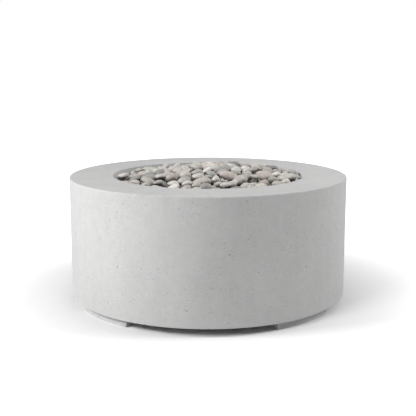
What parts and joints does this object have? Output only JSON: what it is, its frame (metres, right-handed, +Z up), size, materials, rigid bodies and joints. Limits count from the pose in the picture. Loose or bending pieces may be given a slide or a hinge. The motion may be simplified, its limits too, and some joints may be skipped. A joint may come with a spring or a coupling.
{
  "type": "fire pit",
  "caption": "Round cast-concrete fire pit on arc feet, with a gas burner in a sunk pan under a heap of river stones and a sprung knob and igniter in a recess at the back.",
  "frame": {"origin": "On the floor under the centre of the round shell.", "axes": "+Z up, +X right and +Y back as seen from the plain front; the controls face +Y."},
  "size_m": [1.016, 1.0158, 0.4936],
  "materials": {
    "concrete": "matte",
    "zinc_steel": "satin",
    "gasket": "matte",
    "stainless": "satin",
    "brass": "satin",
    "black_knob": "satin",
    "black_plastic": "gloss",
    "cell_can": "gloss",
    "copper": "satin",
    "white_ceramic": "gloss",
    "lead_sheath": "matte",
    "lava_rock": "matte",
    "white_stone": "matte",
    "grey_stone": "matte",
    "sand_stone": "matte",
    "rose_stone": "matte",
    "green_stone": "matte"
  },
  "bodies": {
    "body": {"concrete_shell": "concrete", "foot_front_left": "concrete", "foot_front_right": "concrete", "foot_rear_left": "concrete", "foot_rear_right": "concrete", "foot_inserts": "zinc_steel", "foot_bolts": "zinc_steel", "pan_gasket": "gasket", "burner_pan": "stainless", "burner_outer_ring": "stainless", "burner_inner_ring": "stainless", "burner_inner_arms": "stainless", "burner_outer_arms": "stainless", "burner_hub": "stainless", "burner_stands": "stainless", "feed_nipple": "zinc_steel", "pan_nut_upper": "zinc_steel", "pan_nut_lower": "zinc_steel", "gas_elbow": "brass", "burner_feed_line": "stainless", "feed_nut_burner": "brass", "feed_nut_valve": "brass", "control_tray": "stainless", "tray_inserts": "brass", "tray_screws": "stainless", "valve_body": "brass", "magnet_unit": "zinc_steel", "valve_nut": "brass", "knob_bezel": "stainless", "igniter_barrel": "black_plastic", "igniter_nut": "black_plastic", "igniter_cell": "cell_can", "pilot_bracket": "stainless", "flame_sensor": "copper", "spark_insulator": "white_ceramic", "spark_rod": "stainless", "stone_guard": "stainless", "spark_lead": "lead_sheath", "sensor_nut": "brass", "sensor_lead": "copper", "inlet_pipe": "stainless", "inlet_nut": "brass", "inlet_bracket": "zinc_steel", "inlet_fitting": "brass", "inlet_lock_nut": "brass", "inlet_screws": "zinc_steel", "lava_rocks": "lava_rock", "river_stones_white": "white_stone", "river_stones_grey": "grey_stone", "river_stones_sand": "sand_stone", "river_stones_rose": "rose_stone", "river_stones_green": "green_stone"},
    "valve_plug": {"valve_plug": "brass"},
    "knob": {"control_knob": "black_knob", "valve_stem": "stainless"},
    "button": {"igniter_button": "black_plastic"}
  },
  "joints": [
    {"name": "knob_turn", "type": "hinge", "parent": "body", "child": "valve_plug", "pos_m": [-0.038, 0.447, 0.225], "axis": [0, 1, 0], "range_deg": [0, 180]},
    {"name": "knob_press", "type": "slide", "parent": "valve_plug", "child": "knob", "axis": [0, -1, 0], "range_m": [0, 0.006], "stiffness_N_per_m": 800},
    {"name": "igniter_press", "type": "slide", "parent": "body", "child": "button", "axis": [0, -1, 0], "range_m": [0, 0.005], "stiffness_N_per_m": 600}
  ]
}
